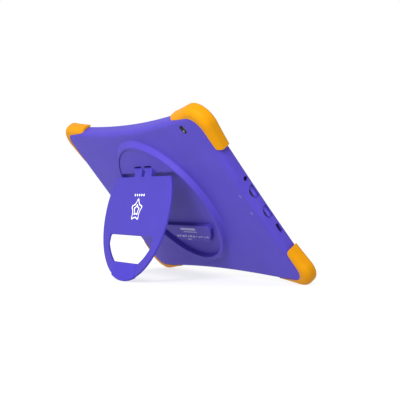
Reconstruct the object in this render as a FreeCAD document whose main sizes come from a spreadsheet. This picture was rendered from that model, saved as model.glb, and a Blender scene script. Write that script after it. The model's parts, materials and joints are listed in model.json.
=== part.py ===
import FreeCAD, Part
import math
import os

import Sketcher

# A children's tablet in a bumper case, standing on its fold-out kickstand.
#
# Every piece is drawn in the tablet's own frame, in millimetres: X runs along the long edges towards the
# side with the sockets, Y towards the upper edge with the camera, and Z out of the back. Z = 0 is the
# back face of the case, so the screen side is at negative Z. The pieces are then leaned back together,
# until the two lower corner guards and the kickstand's foot touch the plane Z = 0 of the model.

DIMENSIONS = {
    # Case: half sizes at the virtual corners of its bowed outline.
    "case_half_width": 133.5,
    "case_half_height": 91.9,
    "case_depth": 14.2,
    "long_edge_bow": 8.8,
    "short_edge_bow": 2.7,
    "edge_round": 3.4,
    "back_edge_round": 5.0,
    "dome_start": 60.0,
    "dome_radius": 2050.0,
    "back_wall": 4.2,
    "front_lip": 1.0,
    "lip_overlap": 3.0,
    # Corner guards: a second bowed outline, standing proud of the case.
    "guard_half_width": 145.5,
    "guard_half_height": 100.0,
    "guard_long_bow": 16.6,
    "guard_short_bow": 14.6,
    "guard_corner_radius": 18.0,
    "guard_edge_round": 3.5,
    "guard_back_round": 6.0,
    "guard_front_proud": 0.5,
    "guard_back_drop": 1.9,
    "band_half_width": 130.8,
    "band_half_height": 86.6,
    "band_corner_radius": 14.0,
    "arm_end_along": 90.0,
    "upper_arm_end": 51.5,
    "lower_arm_end": 54.0,
    "long_arm_round": 1.4,
    "short_arm_round": 2.4,
    "arm_tip_round": 5.0,
    # Ring round the kickstand's pocket, and the hard tray inside it.
    "ring_centre": 2.0,
    "ring_radius": 64.5,
    "ring_crown_width": 2.9,
    "ring_height": 4.8,
    "ring_flare": 3.0,
    "ring_round": 1.1,
    "ring_lip_round": 0.6,
    "ring_foot_round": 2.0,
    "tray_gap": 0.2,
    "plateau_edge": 39.0,
    "plateau_height": 4.0,
    "label_top": -24.0,
    "label_bottom": -43.0,
    "label_radius": 52.0,
    "label_half_width": 42.5,
    "label_height": 3.9,
    "label_edge_round": 0.8,
    "notch_half_depth": 1.4,
    # Kickstand and its hinge.
    "stand_angle": 52.0,
    "hinge_up": 42.0,
    "hinge_out": 2.8,
    "knuckle_radius": 2.5,
    "knuckle_inner": 3.0,
    "knuckle_outer": 17.0,
    "knuckle_side_gap": 0.3,
    "slot_end": 46.8,
    "pin_radius": 0.8,
    "pin_clearance": 0.05,
    "pin_half_length": 25.0,
    "stand_radius": 63.5,
    "stand_top": 6.8,
    "stand_back": 4.6,
    "stand_thickness": 1.8,
    "hole_top": 62.0,
    "hole_bottom": 87.8,
    "hole_half_width": 43.5,
    "hole_radius": 53.3,
    "foot_top": 87.2,
    "foot_proud": 0.8,
    "foot_cover": 0.8,
    "foot_half_width": 22.8,
    "foot_round": 1.4,
    "plate_corner_round": 5.0,
    "plate_rim_round": 0.8,
    "hole_corner_round": 2.5,
    # Port side: scoop, holes and keys, all on one line along the wall.
    "scoop_inset": 4.2,
    "scoop_depth": 7.6,
    "scoop_radius": 130.0,
    "scoop_centre": 2.5,
    "port_level": -9.9,
    "jack_at": 18.7,
    "jack_hole_radius": 2.05,
    "jack_bore_radius": 1.8,
    "jack_length": 12.2,
    "jack_collar_length": 1.2,
    "jack_collar_gap": 0.2,
    "usb_at": -34.0,
    "usb_hole_length": 9.4,
    "usb_hole_height": 3.0,
    "power_key_at": 5.5,
    "volume_key_at": -16.0,
    "key_length": 11.4,
    "key_height": 3.2,
    "key_gap": 0.3,
    "key_shoulder": 1.3,
    "key_crown": 4.2,
    "key_recess": 1.9,
    "key_stem_cut": 1.0,
    "key_stem_end": 123.3,
    "pivot_depth": 126.2,
    "pivot_radius": 0.5,
    "pivot_half_length": 1.15,
    # Sound slots in the case's lower wall, and the holes of the tablet's own shell behind the case's.
    "case_slot_half_length": 1.6,
    "case_slot_half_height": 1.1,
    "shell_slot_half_length": 1.3,
    "shell_slot_half_height": 0.9,
    "shell_jack_radius": 2.9,
    "shell_usb_half_length": 4.6,
    "shell_usb_half_height": 1.75,
    "shell_lens_radius": 3.4,
    # Rear camera.
    "camera_x": 103.5,
    "camera_y": 77.0,
    "camera_hole_radius": 4.2,
    "camera_window_radius": 3.0,
    "camera_module_half": 3.2,
    # The tablet itself.
    "tablet_half_width": 126.5,
    "tablet_half_height": 82.0,
    "tablet_depth": 8.8,
    "tablet_corner_radius": 9.0,
    "tablet_edge_round": 4.0,
    "inner_edge_round": 2.0,
    "fit_gap": 0.1,
    "shell_wall": 1.2,
    "glass_thickness": 1.0,
    "glass_gap": 0.2,
    "adhesive_thickness": 0.2,
    "adhesive_width": 9.0,
    "frame_thickness": 2.2,
    "display_half_width": 112.0,
    "display_half_height": 73.0,
    "panel_thickness": 1.1,
    "tray_thickness": 1.3,
    "board_level": -8.3,
    "board_thickness": 1.0,
    "screw_radius": 0.7,
    "screw_head_radius": 1.5,
    "screw_head_height": 0.8,
    "boss_radius": 2.2,
}

document = FreeCAD.newDocument("Tablet")
sheet = document.addObject("Spreadsheet::Sheet", "Dims")


class Dim:
    """A length or angle that knows its number and the expression that binds it to the sheet."""

    def __init__(self, value, text):
        self.value = value
        self.text = text

    def __add__(self, other):
        other = as_dim(other)
        return Dim(self.value + other.value, f"({self.text} + {other.text})")

    def __sub__(self, other):
        other = as_dim(other)
        return Dim(self.value - other.value, f"({self.text} - {other.text})")

    def __mul__(self, other):
        other = as_dim(other)
        return Dim(self.value * other.value, f"({self.text} * {other.text})")

    def __truediv__(self, other):
        other = as_dim(other)
        return Dim(self.value / other.value, f"({self.text} / {other.text})")

    def __neg__(self):
        return Dim(-self.value, f"(-{self.text})")


def as_dim(number):
    if isinstance(number, Dim):
        return number
    return Dim(float(number), f"({float(number)})")


def dim(alias):
    return Dim(DIMENSIONS[alias], f"Dims.{alias}")


def number(alias):
    return DIMENSIONS[alias]


def fill_sheet():
    for row, (alias, value) in enumerate(DIMENSIONS.items(), start=1):
        sheet.set(f"A{row}", alias)
        sheet.set(f"B{row}", str(value))
        sheet.setAlias(f"B{row}", alias)
    document.recompute()


# ---------------------------------------------------------------- sketches and features


def origin_plane(body, role):
    for feature in body.Origin.OriginFeatures:
        if feature.Role == role:
            return feature
    raise ValueError(role)


def new_body(name):
    body = document.addObject("PartDesign::Body", name)
    body.Label = name
    return body


def new_sketch(body, name, base, role="XY_Plane"):
    """A sketch parallel to an origin plane of the body, at the height base along its normal."""
    sketch = body.newObject("Sketcher::SketchObject", name)
    sketch.AttachmentSupport = [(origin_plane(body, role), "")]
    sketch.MapMode = "FlatFace"
    sketch.setExpression("AttachmentOffset.Base.z", as_dim(base).text)
    return sketch


def bind_last(sketch, value):
    sketch.setExpression(f"Constraints[{sketch.ConstraintCount - 1}]", as_dim(value).text)


def pin_point(sketch, geometry, point, x, y):
    """Hold one point of a sketch at x, y from its origin, both bound to the sheet."""
    for kind, place in (("DistanceX", as_dim(x)), ("DistanceY", as_dim(y))):
        if place.value >= 0:
            rule = Sketcher.Constraint(kind, -1, 1, geometry, point, place.value)
            bound = place
        else:
            rule = Sketcher.Constraint(kind, geometry, point, -1, 1, -place.value)
            bound = -place
        sketch.addConstraint(rule)
        bind_last(sketch, bound)


def draw_polygon(sketch, corners):
    corners = [(as_dim(x), as_dim(y)) for x, y in corners]
    first = sketch.GeometryCount
    count = len(corners)
    for index, (x, y) in enumerate(corners):
        next_x, next_y = corners[(index + 1) % count]
        start = FreeCAD.Vector(x.value, y.value, 0)
        end = FreeCAD.Vector(next_x.value, next_y.value, 0)
        sketch.addGeometry(Part.LineSegment(start, end), False)
    for index, (x, y) in enumerate(corners):
        following = first + (index + 1) % count
        sketch.addConstraint(Sketcher.Constraint("Coincident", first + index, 2, following, 1))
        pin_point(sketch, first + index, 1, x, y)


def draw_rectangle(sketch, centre_x, centre_y, half_x, half_y):
    centre_x, centre_y = as_dim(centre_x), as_dim(centre_y)
    left, right = centre_x - half_x, centre_x + half_x
    low, high = centre_y - half_y, centre_y + half_y
    draw_polygon(sketch, [(left, low), (right, low), (right, high), (left, high)])


def draw_rounded_rectangle(sketch, centre_x, centre_y, half_x, half_y, radius):
    centre_x, centre_y, radius = as_dim(centre_x), as_dim(centre_y), as_dim(radius)
    reach_x, reach_y = as_dim(half_x) - radius, as_dim(half_y) - radius
    signs = [(1, -1), (1, 1), (-1, 1), (-1, -1)]
    centres = [(centre_x + reach_x * x, centre_y + reach_y * y) for x, y in signs]
    quarter = math.pi / 2
    for index, (x, y) in enumerate(centres):
        circle = Part.Circle(FreeCAD.Vector(x.value, y.value, 0), FreeCAD.Vector(0, 0, 1), radius.value)
        start = quarter * (index - 1)
        sketch.addGeometry(Part.ArcOfCircle(circle, start, start + quarter), False)
    for index in range(4):
        start, end = sketch.getPoint(index, 2), sketch.getPoint((index + 1) % 4, 1)
        sketch.addGeometry(Part.LineSegment(start, end), False)
    for index, (x, y) in enumerate(centres):
        pin_point(sketch, index, 3, x, y)
        sketch.addConstraint(Sketcher.Constraint("Radius", index, radius.value))
        bind_last(sketch, radius)
        sketch.addConstraint(Sketcher.Constraint("Tangent", index, 2, 4 + index, 1))
        sketch.addConstraint(Sketcher.Constraint("Tangent", 4 + index, 2, (index + 1) % 4, 1))


def draw_circle(sketch, centre_x, centre_y, radius):
    centre_x, centre_y, radius = as_dim(centre_x), as_dim(centre_y), as_dim(radius)
    centre = FreeCAD.Vector(centre_x.value, centre_y.value, 0)
    up = FreeCAD.Vector(0, 0, 1)
    geometry = sketch.addGeometry(Part.Circle(centre, up, radius.value), False)
    pin_point(sketch, geometry, 3, centre_x, centre_y)
    sketch.addConstraint(Sketcher.Constraint("Radius", geometry, radius.value))
    bind_last(sketch, radius)


def draw_bowed_outline(sketch, half_width, half_height, long_bow, short_bow):
    """Four corners joined by arcs that curve inwards by the given bows."""
    corners = [
        (-half_width, -half_height),
        (half_width, -half_height),
        (half_width, half_height),
        (-half_width, half_height),
    ]
    middles = [
        (0, -half_height + long_bow),
        (half_width - short_bow, 0),
        (0, half_height - long_bow),
        (-half_width + short_bow, 0),
    ]
    long_radius = (half_width * half_width + long_bow * long_bow) / (long_bow * 2)
    short_radius = (half_height * half_height + short_bow * short_bow) / (short_bow * 2)
    for index in range(4):
        start_x, start_y = corners[index]
        end_x, end_y = corners[(index + 1) % 4]
        middle_x, middle_y = (as_dim(value) for value in middles[index])
        arc = Part.Arc(
            FreeCAD.Vector(start_x.value, start_y.value, 0),
            FreeCAD.Vector(middle_x.value, middle_y.value, 0),
            FreeCAD.Vector(end_x.value, end_y.value, 0),
        )
        sketch.addGeometry(arc, False)
    # An arc stored the other way round has its ends swapped, so each corner is matched by place.
    for index, (x, y) in enumerate(corners):
        joined = []
        for geometry in (index, (index - 1) % 4):
            for point in (1, 2):
                gap = sketch.getPoint(geometry, point) - FreeCAD.Vector(x.value, y.value, 0)
                if gap.Length < 0.01:
                    joined.append((geometry, point))
        (geometry, point), (other, other_point) = joined
        sketch.addConstraint(Sketcher.Constraint("Coincident", geometry, point, other, other_point))
        pin_point(sketch, geometry, point, x, y)
    for index in range(4):
        radius = long_radius if index % 2 == 0 else short_radius
        sketch.addConstraint(Sketcher.Constraint("Radius", index, radius.value))
        bind_last(sketch, radius)


def draw_segment(sketch, centre_y, radius, flat_y, from_top=False):
    """The part of a circle on X = 0 that lies below a straight edge, or above it."""
    centre_y, radius, flat_y = as_dim(centre_y), as_dim(radius), as_dim(flat_y)
    rise = flat_y.value - centre_y.value
    half = math.sqrt(radius.value**2 - rise**2)
    angle = math.atan2(rise, half)
    centre = FreeCAD.Vector(0, centre_y.value, 0)
    circle = Part.Circle(centre, FreeCAD.Vector(0, 0, 1), radius.value)
    if from_top:
        arc = Part.ArcOfCircle(circle, angle, math.pi - angle)
    else:
        arc = Part.ArcOfCircle(circle, math.pi - angle, 2 * math.pi + angle)
    line_start = FreeCAD.Vector(half, flat_y.value, 0)
    line_end = FreeCAD.Vector(-half, flat_y.value, 0)
    round_side = sketch.addGeometry(arc, False)
    straight = sketch.addGeometry(Part.LineSegment(line_start, line_end), False)
    right_end, left_end = (1, 2) if from_top else (2, 1)
    sketch.addConstraint(Sketcher.Constraint("Coincident", round_side, right_end, straight, 1))
    sketch.addConstraint(Sketcher.Constraint("Coincident", round_side, left_end, straight, 2))
    pin_point(sketch, round_side, 3, 0, centre_y)
    sketch.addConstraint(Sketcher.Constraint("Radius", round_side, radius.value))
    bind_last(sketch, radius)
    sketch.addConstraint(Sketcher.Constraint("Horizontal", straight))
    kind, ends = "DistanceY", (-1, 1, straight, 1)
    if flat_y.value < 0:
        ends = (straight, 1, -1, 1)
        flat_y = -flat_y
    sketch.addConstraint(Sketcher.Constraint(kind, *ends, flat_y.value))
    bind_last(sketch, flat_y)


def draw_rounded_steps(sketch, corners):
    """A closed outline of runs along X or Y. Each corner is x, y and its radius, which is 0 for a sharp one."""
    corners = [tuple(as_dim(value) for value in corner) for corner in corners]

    def towards(corner, other):
        x, y, radius = corner
        if abs(other[0].value - x.value) > abs(other[1].value - y.value):
            return x + radius * math.copysign(1, other[0].value - x.value), y
        return x, y + radius * math.copysign(1, other[1].value - y.value)

    count = len(corners)
    entries = [towards(corner, corners[index - 1]) for index, corner in enumerate(corners)]
    exits = [towards(corner, corners[(index + 1) % count]) for index, corner in enumerate(corners)]
    vector = lambda place: FreeCAD.Vector(place[0].value, place[1].value, 0)
    for index in range(count):
        run = Part.LineSegment(vector(exits[index]), vector(entries[(index + 1) % count]))
        sketch.addGeometry(run, False)
        pin_point(sketch, index, 1, *exits[index])
    for index, corner in enumerate(corners):
        before = (index - 1) % count
        if corner[2].value == 0:
            sketch.addConstraint(Sketcher.Constraint("Coincident", before, 2, index, 1))
            continue
        pin_point(sketch, before, 2, *entries[index])
        start, end, tip = vector(entries[index]), vector(exits[index]), vector(corner)
        centre = start + end - tip
        middle = centre + (tip - centre).normalize() * corner[2].value
        arc = sketch.addGeometry(Part.Arc(start, middle, end), False)
        swapped = (sketch.getPoint(arc, 1) - start).Length > 0.01
        first, last = (2, 1) if swapped else (1, 2)
        sketch.addConstraint(Sketcher.Constraint("Coincident", before, 2, arc, first))
        sketch.addConstraint(Sketcher.Constraint("Coincident", arc, last, index, 1))
        sketch.addConstraint(Sketcher.Constraint("Radius", arc, corner[2].value))
        bind_last(sketch, corner[2])


def draw_arched_slot(sketch, centre, half_length, low, shoulder, crown):
    """A slot with a straight lower side and ends, and an arched upper side."""
    left, right = centre - half_length, centre + half_length
    corners = [(left, shoulder), (left, low), (right, low), (right, shoulder)]
    vectors = [FreeCAD.Vector(x.value, y.value, 0) for x, y in corners]
    for start, end in zip(vectors, vectors[1:]):
        sketch.addGeometry(Part.LineSegment(start, end), False)
    top = FreeCAD.Vector(centre.value, crown.value, 0)
    arch = sketch.addGeometry(Part.Arc(vectors[3], top, vectors[0]), False)
    rise = crown - shoulder
    radius = (half_length * half_length + rise * rise) / (rise * 2)
    for first, second in ((0, 1), (1, 2)):
        sketch.addConstraint(Sketcher.Constraint("Coincident", first, 2, second, 1))
    sketch.addConstraint(Sketcher.Constraint("Coincident", 2, 2, arch, 1))
    sketch.addConstraint(Sketcher.Constraint("Coincident", arch, 2, 0, 1))
    for line, (x, y) in enumerate(corners[:3]):
        pin_point(sketch, line, 1, x, y)
    pin_point(sketch, 2, 2, *corners[3])
    sketch.addConstraint(Sketcher.Constraint("Radius", arch, radius.value))
    bind_last(sketch, radius)


def draw_shield(sketch, centre_y, radius, half_width, top_y, bottom_y):
    """A hole or block with straight top, bottom and upper sides and lower sides that follow a circle."""
    centre_y, radius, half_width = as_dim(centre_y), as_dim(radius), as_dim(half_width)
    top_y, bottom_y = as_dim(top_y), as_dim(bottom_y)
    side_y = centre_y.value - math.sqrt(radius.value**2 - half_width.value**2)
    foot_x = math.sqrt(radius.value**2 - (bottom_y.value - centre_y.value) ** 2)
    centre = FreeCAD.Vector(0, centre_y.value, 0)
    circle = Part.Circle(centre, FreeCAD.Vector(0, 0, 1), radius.value)
    low = math.atan2(bottom_y.value - centre_y.value, foot_x)
    high = math.atan2(side_y - centre_y.value, half_width.value)
    points = [
        (half_width.value, side_y),
        (half_width.value, top_y.value),
        (-half_width.value, top_y.value),
        (-half_width.value, side_y),
    ]
    vectors = [FreeCAD.Vector(x, y, 0) for x, y in points]
    for start, end in zip(vectors, vectors[1:]):
        sketch.addGeometry(Part.LineSegment(start, end), False)
    sketch.addGeometry(Part.ArcOfCircle(circle, math.pi - high, math.pi - low), False)
    left_foot = FreeCAD.Vector(-foot_x, bottom_y.value, 0)
    right_foot = FreeCAD.Vector(foot_x, bottom_y.value, 0)
    sketch.addGeometry(Part.LineSegment(left_foot, right_foot), False)
    sketch.addGeometry(Part.ArcOfCircle(circle, low, high), False)
    links = [(0, 2, 1, 1), (1, 2, 2, 1), (2, 2, 3, 1), (3, 2, 4, 1), (4, 2, 5, 1), (5, 2, 0, 1)]
    for link in links:
        sketch.addConstraint(Sketcher.Constraint("Coincident", *link))
    for arc in (3, 5):
        pin_point(sketch, arc, 3, 0, centre_y)
        sketch.addConstraint(Sketcher.Constraint("Radius", arc, radius.value))
        bind_last(sketch, radius)
    pin_point(sketch, 0, 2, half_width, top_y)
    pin_point(sketch, 1, 2, -half_width, top_y)
    sketch.addConstraint(Sketcher.Constraint("Vertical", 0))
    sketch.addConstraint(Sketcher.Constraint("Vertical", 2))
    sketch.addConstraint(Sketcher.Constraint("Horizontal", 4))
    depth = -bottom_y
    sketch.addConstraint(Sketcher.Constraint("DistanceY", 4, 1, -1, 1, depth.value))
    bind_last(sketch, depth)


def pad(body, name, draw, base, length, role="XY_Plane"):
    """Raise the profile drawn by draw(sketch) from base by length along the plane's normal."""
    sketch = new_sketch(body, name + "_sketch", base, role)
    draw(sketch)
    feature = body.newObject("PartDesign::Pad", name)
    feature.Profile = sketch
    feature.setExpression("Length", as_dim(length).text)
    document.recompute()
    return feature


def cut(body, name, draw, base, length, role="XY_Plane"):
    """Remove the profile drawn by draw(sketch) from base by length along the plane's normal."""
    sketch = new_sketch(body, name + "_sketch", base, role)
    draw(sketch)
    before = body.Shape.Volume
    feature = body.newObject("PartDesign::Pocket", name)
    feature.Profile = sketch
    feature.Type = "Length"
    feature.Reversed = True
    feature.setExpression("Length", as_dim(length).text)
    document.recompute()
    if body.Shape.Volume >= before:
        raise RuntimeError(f"{body.Label}: {name} cuts nothing")
    return feature


def round_edges(body, name, radius, wanted, kind="PartDesign::Fillet"):
    """Round, or chamfer, the edges of the body for which wanted(edge) is true."""
    tip = body.Tip
    names = [f"Edge{index}" for index, edge in enumerate(tip.Shape.Edges, start=1) if wanted(edge)]
    if not names:
        raise RuntimeError(f"{body.Label}: {name} found no edge")
    feature = body.newObject(kind, name)
    feature.Base = (tip, names)
    field = "Radius" if kind == "PartDesign::Fillet" else "Size"
    feature.setExpression(field, as_dim(radius).text)
    document.recompute()
    return feature


def is_vertical(edge):
    box = edge.BoundBox
    return box.XLength < 0.01 and box.YLength < 0.01 and box.ZLength > 0.01


def lies_at(edge, level):
    box = edge.BoundBox
    return abs(box.ZMin - level) < 0.01 and abs(box.ZMax - level) < 0.01


def slab(name, centre, half_size, base, height, corner_radius=None):
    """A flat rectangular piece, with rounded corners where a radius is given."""
    body = new_body(name)
    if corner_radius is None:
        outline = lambda sketch: draw_rectangle(sketch, *centre, *half_size)
    else:
        outline = lambda sketch: draw_rounded_rectangle(sketch, *centre, *half_size, corner_radius)
    pad(body, name + "_pad", outline, base, height)
    return body


# ---------------------------------------------------------------- levels shared by several pieces

case_front = -dim("case_depth")
tablet_back = -(dim("back_wall") + dim("fit_gap"))
tablet_front = tablet_back - dim("tablet_depth")
shell_floor = tablet_back - dim("shell_wall")
glass_back = tablet_front + dim("glass_thickness")
adhesive_back = glass_back + dim("adhesive_thickness")
frame_back = adhesive_back + dim("frame_thickness")
inner_half_width = dim("tablet_half_width") - dim("shell_wall")
inner_half_height = dim("tablet_half_height") - dim("shell_wall")
inner_corner_radius = dim("tablet_corner_radius") - dim("shell_wall")
port_wall = dim("case_half_width") - dim("short_edge_bow")
key_face = port_wall - dim("key_recess")
stand_centre = dim("ring_centre") - dim("hinge_up")

CORNERS = {
    "top_left": (1, 1),
    "top_right": (-1, 1),
    "bottom_left": (1, -1),
    "bottom_right": (-1, -1),
}
SPEAKER_AT = 75.0
SPEAKER_SLOTS = [-12.0, -6.0, 0.0, 6.0, 12.0]
SCREW_PLACES = [(-120, 75), (0, 77), (119, 60), (-120, -75), (0, -77), (119, -75)]
# Where the front camera sits, and a reach well beyond every edge of the case.
FRONT_CAMERA_AT = (30, 76)
BEYOND_CASE = 175


def short_arm_end(up):
    return dim("upper_arm_end") if up > 0 else dim("lower_arm_end")


def guard_boundary(side, up, reach):
    """The stepped line between a guard and the case, with its rounded corners, out to the given reach."""
    return [
        (dim("arm_end_along") * side, as_dim(reach) * up, 0),
        (dim("arm_end_along") * side, dim("band_half_height") * up, dim("long_arm_round")),
        (dim("band_half_width") * side, dim("band_half_height") * up, dim("band_corner_radius")),
        (dim("band_half_width") * side, short_arm_end(up) * up, dim("short_arm_round")),
        (as_dim(reach) * side, short_arm_end(up) * up, 0),
    ]


def draw_dome_cut(sketch, start, radius, reach, top):
    """Everything above a flat middle and an arc that falls away from it, on one side of the vertical axis."""
    start, radius, reach, top = as_dim(start), as_dim(radius), as_dim(reach), as_dim(top)
    run = reach.value - start.value
    drop = radius.value - math.sqrt(radius.value**2 - run**2)
    vector = lambda x, y: FreeCAD.Vector(x, y, 0)
    corners = [vector(0, top.value), vector(0, 0), vector(start.value, 0)]
    far = [vector(reach.value, -drop), vector(reach.value, top.value)]
    circle = Part.Circle(vector(start.value, -radius.value), FreeCAD.Vector(0, 0, 1), radius.value)
    low = math.atan2(radius.value - drop, run)
    sketch.addGeometry(Part.LineSegment(corners[0], corners[1]), False)
    sketch.addGeometry(Part.LineSegment(corners[1], corners[2]), False)
    sketch.addGeometry(Part.ArcOfCircle(circle, low, math.pi / 2), False)
    sketch.addGeometry(Part.LineSegment(far[0], far[1]), False)
    sketch.addGeometry(Part.LineSegment(far[1], corners[0]), False)
    for link in ((0, 2, 1, 1), (1, 2, 2, 2), (2, 1, 3, 1), (3, 2, 4, 1), (4, 2, 0, 1)):
        sketch.addConstraint(Sketcher.Constraint("Coincident", *link))
    pin_point(sketch, 0, 1, 0, top)
    pin_point(sketch, 1, 1, 0, 0)
    pin_point(sketch, 1, 2, start, 0)
    pin_point(sketch, 2, 3, start, -radius)
    pin_point(sketch, 3, 2, reach, top)
    sketch.addConstraint(Sketcher.Constraint("Vertical", 3))


def dome_back(body, top):
    """Turn the back face down to a shallow dome round the ring's centre."""
    sketch = new_sketch(body, "dome_sketch", -dim("ring_centre"), "XZ_Plane")
    draw_dome_cut(sketch, dim("dome_start"), dim("dome_radius"), BEYOND_CASE, top)
    groove = body.newObject("PartDesign::Groove", "dome")
    groove.Profile = sketch
    groove.ReferenceAxis = (sketch, ["V_Axis"])
    groove.Angle = 360
    document.recompute()


def make_bumper_case():
    body = new_body("bumper_case")
    sizes = [dim("case_half_width"), dim("case_half_height")]
    bows = [dim("long_edge_bow"), dim("short_edge_bow")]
    outline = lambda sketch: draw_bowed_outline(sketch, *sizes, *bows)
    headroom = 1
    pad(body, "case_block", outline, case_front, dim("case_depth") + headroom)
    dome_back(body, headroom + 1)
    # The dome leaves the back rim a little below the flat middle, nowhere more than 4 mm.
    back_rim = lambda edge: -4 < edge.BoundBox.ZMin and edge.BoundBox.ZMax < -0.02
    round_edges(body, "back_rim", dim("back_edge_round"), back_rim)
    round_edges(body, "front_rim", dim("edge_round"), lambda edge: lies_at(edge, case_front.value))

    # Space for the tablet behind the front lip, and the window in the lip.
    half_width = dim("tablet_half_width") + dim("fit_gap")
    half_height = dim("tablet_half_height") + dim("fit_gap")
    radius = dim("tablet_corner_radius") + dim("fit_gap")
    space = lambda sketch: draw_rounded_rectangle(sketch, 0, 0, half_width, half_height, radius)
    overlap = dim("lip_overlap")
    lip = (half_width - overlap, half_height - overlap, radius - overlap)
    window = lambda sketch: draw_rounded_rectangle(sketch, 0, 0, *lip)
    space_base = case_front + dim("front_lip")
    space_depth = dim("case_depth") - dim("front_lip") - dim("back_wall")
    cut(body, "tablet_space", space, space_base, space_depth)
    space_floor = -number("back_wall")
    back_rim = lambda edge: lies_at(edge, space_floor)
    round_edges(body, "space_round", dim("tablet_edge_round") + dim("fit_gap"), back_rim)
    cut(body, "screen_window", window, case_front, dim("front_lip"))

    # Scoop: a cone standing on the port side cuts a slanted, curved bite out of the back edge.
    cone = body.newObject("PartDesign::SubtractiveCone", "port_scoop")
    cone.setExpression("Radius1", (dim("scoop_radius") - dim("scoop_inset")).text)
    cone.setExpression("Radius2", dim("scoop_radius").text)
    cone.setExpression("Height", dim("scoop_depth").text)
    scoop_at = port_wall - dim("scoop_inset") + dim("scoop_radius")
    cone.setExpression("Placement.Base.x", scoop_at.text)
    cone.setExpression("Placement.Base.y", dim("scoop_centre").text)
    cone.setExpression("Placement.Base.z", (-dim("scoop_depth")).text)
    document.recompute()

    # Ring round the pocket, then the round opening that the tray fills.
    ring_centre = dim("ring_centre")
    inner = lambda sketch: draw_circle(sketch, 0, ring_centre, dim("ring_radius"))
    crown_radius = dim("ring_radius") + dim("ring_crown_width")
    buried = 1
    ring = body.newObject("PartDesign::AdditiveCone", "ring")
    root_flare = dim("ring_flare") * (dim("ring_height") + buried) / dim("ring_height")
    ring.setExpression("Radius1", (crown_radius + root_flare).text)
    ring.setExpression("Radius2", crown_radius.text)
    ring.setExpression("Height", (dim("ring_height") + buried).text)
    ring.setExpression("Placement.Base.y", ring_centre.text)
    ring.setExpression("Placement.Base.z", (-as_dim(buried)).text)
    document.recompute()
    ring_rim = lambda edge: lies_at(edge, number("ring_height"))
    round_edges(body, "ring_crown", dim("ring_round"), ring_rim)
    ring_reach = (crown_radius + dim("ring_flare")).value
    ring_foot = lambda edge: abs(edge.BoundBox.ZMin) < 0.1 and abs(edge.BoundBox.XMax - ring_reach) < 0.1
    round_edges(body, "ring_foot", dim("ring_foot_round"), ring_foot)
    cut(body, "tray_opening", inner, -dim("back_wall") - 1, dim("back_wall") + dim("ring_height") + 2)
    ring_lip = lambda edge: ring_rim(edge) and abs(edge.BoundBox.XMax - number("ring_radius")) < 0.01
    round_edges(body, "ring_lip", dim("ring_lip_round"), ring_lip)

    # Seats of the corner guards.
    reach = 170
    for name, (side, up) in CORNERS.items():
        corners = guard_boundary(side, up, reach) + [(reach * side, reach * up, 0)]
        seat = lambda sketch: draw_rounded_steps(sketch, corners)
        cut(body, "seat_" + name, seat, case_front - 1, dim("case_depth") + 2)

    # Holes through the port wall and the camera hole.
    level = dim("port_level")
    wall_inside = dim("tablet_half_width")
    wall_depth = port_wall - wall_inside + 1
    jack = lambda sketch: draw_circle(sketch, dim("jack_at"), level, dim("jack_hole_radius"))
    cut(body, "jack_hole", jack, wall_inside, wall_depth, "YZ_Plane")
    usb_size = (dim("usb_hole_length") / 2, dim("usb_hole_height") / 2)
    usb_round = dim("usb_hole_height") / 2 - 0.1
    usb = lambda sketch: draw_rounded_rectangle(sketch, dim("usb_at"), level, *usb_size, usb_round)
    cut(body, "usb_hole", usb, wall_inside, wall_depth, "YZ_Plane")
    key_half_length = dim("key_length") / 2 + dim("key_gap")
    heights = (level - dim("key_height") / 2 - dim("key_gap"), level + dim("key_shoulder"), level + dim("key_crown"))
    for key in ("power_key", "volume_key"):
        hole = lambda sketch: draw_arched_slot(sketch, dim(key + "_at"), key_half_length, *heights)
        cut(body, key + "_hole", hole, wall_inside, wall_depth, "YZ_Plane")
    lens = lambda sketch: draw_circle(sketch, dim("camera_x"), dim("camera_y"), dim("camera_hole_radius"))
    cut(body, "camera_hole", lens, -dim("back_wall") - 1, dim("back_wall") + 2)
    slot_half = (dim("case_slot_half_length"), dim("case_slot_half_height"))
    for side in (-1, 1):
        for place in SPEAKER_SLOTS:
            slot = lambda sketch: draw_rectangle(sketch, side * SPEAKER_AT + place, level, *slot_half)
            cut(body, "sound_slot", slot, dim("tablet_half_height") - 1, 12, "XZ_Plane")
    return body


def make_corner_guard(name, side, up):
    body = new_body("corner_guard_" + name)
    sizes = [dim("guard_half_width"), dim("guard_half_height")]
    bows = [dim("guard_long_bow"), dim("guard_short_bow")]
    outline = lambda sketch: draw_bowed_outline(sketch, *sizes, *bows)
    base = case_front - dim("guard_front_proud")
    depth = dim("case_depth") + dim("guard_front_proud") - dim("guard_back_drop")
    pad(body, "block", outline, base, depth)
    round_edges(body, "corners", dim("guard_corner_radius"), is_vertical)
    top = (base + depth).value
    round_edges(body, "back_rim", dim("guard_back_round"), lambda edge: lies_at(edge, top))
    round_edges(body, "front_rim", dim("guard_edge_round"), lambda edge: lies_at(edge, base.value))

    # Everything but the L-shaped corner band is cut away.
    far = 200
    corners = guard_boundary(side, up, far) + [(far * side, -far * up, 0), (-far * side, -far * up, 0)]
    corners.append((-far * side, far * up, 0))
    rest = lambda sketch: draw_rounded_steps(sketch, corners)
    cut(body, "all_but_corner", rest, base - 1, depth + 2)

    # Each arm's tip is rounded off towards the back face.
    back = base + depth
    for role, way, arm in (("XZ_Plane", side, dim("arm_end_along")), ("YZ_Plane", up, short_arm_end(up))):
        end = arm * way
        before, beyond = end - as_dim(10) * way, as_dim(far) * way
        low, high = base - 1, back + 1
        steps = [(before, low, 0), (end, low, 0), (end, back, dim("arm_tip_round"))]
        steps += [(beyond, back, 0), (beyond, high, 0), (before, high, 0)]
        above = lambda sketch: draw_rounded_steps(sketch, steps)
        cut(body, "arm_tip", above, -far, far * 2, role)
    return body


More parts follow.
